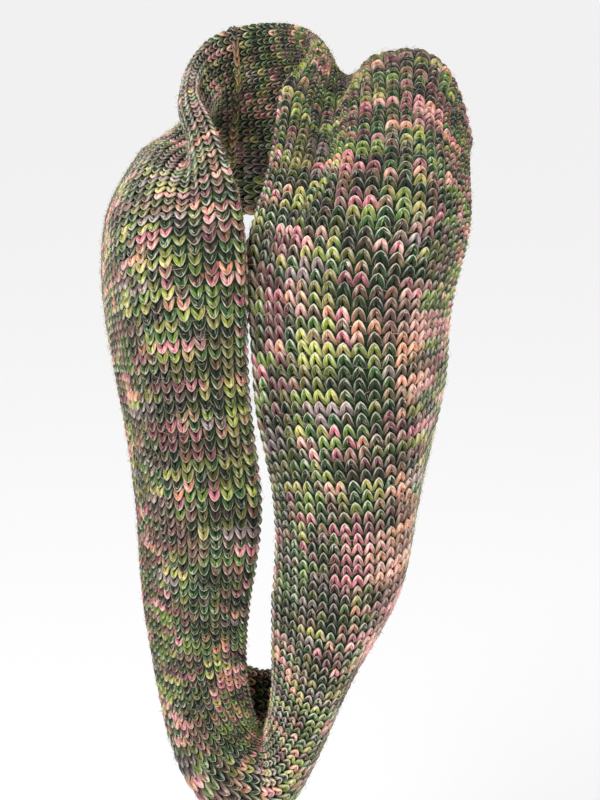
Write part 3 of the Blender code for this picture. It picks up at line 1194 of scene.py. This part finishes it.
class SCARF_OT_knit(bpy.types.Operator):
    """Knit the tube: the stitches on both faces of each stretch, and their backs"""

    bl_idname = "scarf.knit"
    bl_label = "Knit the Tube"

    def execute(self, context):
        knit = context.scene.scarf_knit
        yarn = context.scene.scarf_yarn
        tube = Tube(knit)
        stitch = model_stitch()
        marled = yarn_finish("marled_yarn", yarn, DYE_ORDER)
        shaded = backing_finish("stitch_backs", yarn)
        for node, first_row, last_row in stretch_rows(tube):
            cloth = backing(tube, knit, f"{node}_cloth", first_row, last_row)
            cloth.data.materials.append(shaded)
            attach(cloth, "root")
            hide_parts(node)
            for side, first_column in (("outer", 0), ("inner", knit.columns // 2)):
                name = f"{node}_stitches_{side}"
                face = knit_face(stitch, tube, knit, name, first_row, last_row, first_column)
                face.data.materials.append(marled)
                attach(face, "root")
            length = (last_row - first_row) / tube.rows * tube.length
        bpy.data.objects.remove(stitch)
        return {"FINISHED"}


class SCARF_OT_join(bpy.types.Operator):
    """Sew the tube's ends together, in the tan tones of their own length of yarn"""

    bl_idname = "scarf.join"
    bl_label = "Sew the Join"

    def execute(self, context):
        knit = context.scene.scarf_knit
        stitch = model_stitch()
        chain = model_join(stitch, Tube(knit), knit, context.scene.scarf_seam)
        chain.data.materials.append(yarn_finish("join_yarn", context.scene.scarf_yarn, JOIN_DYES))
        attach(chain, "root")
        bpy.data.objects.remove(stitch)
        return {"FINISHED"}


class SCARF_OT_fibres(bpy.types.Operator):
    """Raise the loose fibres that stand off the knit of each stretch"""

    bl_idname = "scarf.fibres"
    bl_label = "Raise the Fibres"

    def execute(self, context):
        knit = context.scene.scarf_knit
        fuzz = context.scene.scarf_fuzz
        tube = Tube(knit)
        fibre = model_fibre()
        loose = fibre_finish("loose_fibres", context.scene.scarf_yarn)
        for node, first_row, last_row in stretch_rows(tube):
            halo = model_halo(fibre, tube, knit, fuzz, f"{node}_halo", first_row, last_row)
            halo.data.materials.append(loose)
            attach(halo, "root")
        bpy.data.objects.remove(fibre)
        return {"FINISHED"}


class SCARF_OT_stage(bpy.types.Operator):
    """Add the pale floor, the soft lights and the camera"""

    bl_idname = "scarf.stage"
    bl_label = "Set the Stage"

    def execute(self, context):
        stage = context.scene.scarf_stage
        low, _ = CAD_BOX
        bpy.ops.object.select_all(action="DESELECT")
        place = (0, 0, low.z - stage.floor_drop)
        bpy.ops.mesh.primitive_plane_add(size=FLOOR_SIZE, location=place)
        floor = bpy.context.object
        floor.name = "floor"
        floor.data.materials.append(floor_finish("pale_floor"))
        add_lights(context, stage)
        add_camera(context, stage)
        context.scene.view_settings.view_transform = "Standard"
        return {"FINISHED"}


def add_lights(context, stage):
    world = bpy.data.worlds.new("studio")
    world.use_nodes = True
    sky = world.node_tree.nodes["Background"]
    sky.inputs["Color"].default_value = (1, 1, 1, 1)
    sky.inputs["Strength"].default_value = stage.daylight
    context.scene.world = world
    for name, place, size, power in LIGHTS:
        bpy.ops.object.light_add(type="AREA", location=place)
        light = bpy.context.object
        light.name = name
        light.data.energy = power
        light.data.size = size
        aim = Vector(LIGHTS_AIM) - light.location
        light.rotation_euler = aim.to_track_quat("-Z", "Y").to_euler()


def add_camera(context, stage):
    back = Vector(
        (
            math.sin(stage.azimuth) * math.cos(stage.elevation),
            -math.cos(stage.azimuth) * math.cos(stage.elevation),
            math.sin(stage.elevation),
        )
    )
    target = Vector(stage.target)
    bpy.ops.object.camera_add(location=target + back * stage.distance)
    camera = bpy.context.object
    camera.name = "camera"
    camera.rotation_euler = (-back).to_track_quat("-Z", "Y").to_euler()
    camera.data.lens = stage.lens
    context.scene.camera = camera


class SCARF_PT_panel(bpy.types.Panel):
    """The scarf's sizes, colours and steps"""

    bl_idname = "SCARF_PT_panel"
    bl_label = "Infinity Scarf"
    bl_space_type = "VIEW_3D"
    bl_region_type = "UI"
    bl_category = "Scarf"

    def draw(self, context):
        layout = self.layout
        for group in SETTINGS:
            settings = getattr(context.scene, group)
            box = layout.box()
            for name in settings.__annotations__:
                box.prop(settings, name)
        for operator in OPERATORS:
            layout.operator(operator.bl_idname)


OPERATORS = (SCARF_OT_knit, SCARF_OT_join, SCARF_OT_fibres, SCARF_OT_stage)
SETTINGS = {
    "scarf_knit": KnitSettings,
    "scarf_seam": SeamSettings,
    "scarf_fuzz": FuzzSettings,
    "scarf_yarn": YarnSettings,
    "scarf_stage": StageSettings,
}


def register():
    for cls in (*SETTINGS.values(), *OPERATORS, SCARF_PT_panel):
        bpy.utils.register_class(cls)
    for name, cls in SETTINGS.items():
        setattr(bpy.types.Scene, name, bpy.props.PointerProperty(type=cls))


def unregister():
    for name in SETTINGS:
        delattr(bpy.types.Scene, name)
    for cls in (SCARF_PT_panel, *reversed(OPERATORS), *SETTINGS.values()):
        bpy.utils.unregister_class(cls)


def main():
    register()
    bpy.ops.scarf.knit()
    bpy.ops.scarf.join()
    bpy.ops.scarf.fibres()
    bpy.ops.scarf.stage()


if __name__ == "__main__":
    main()
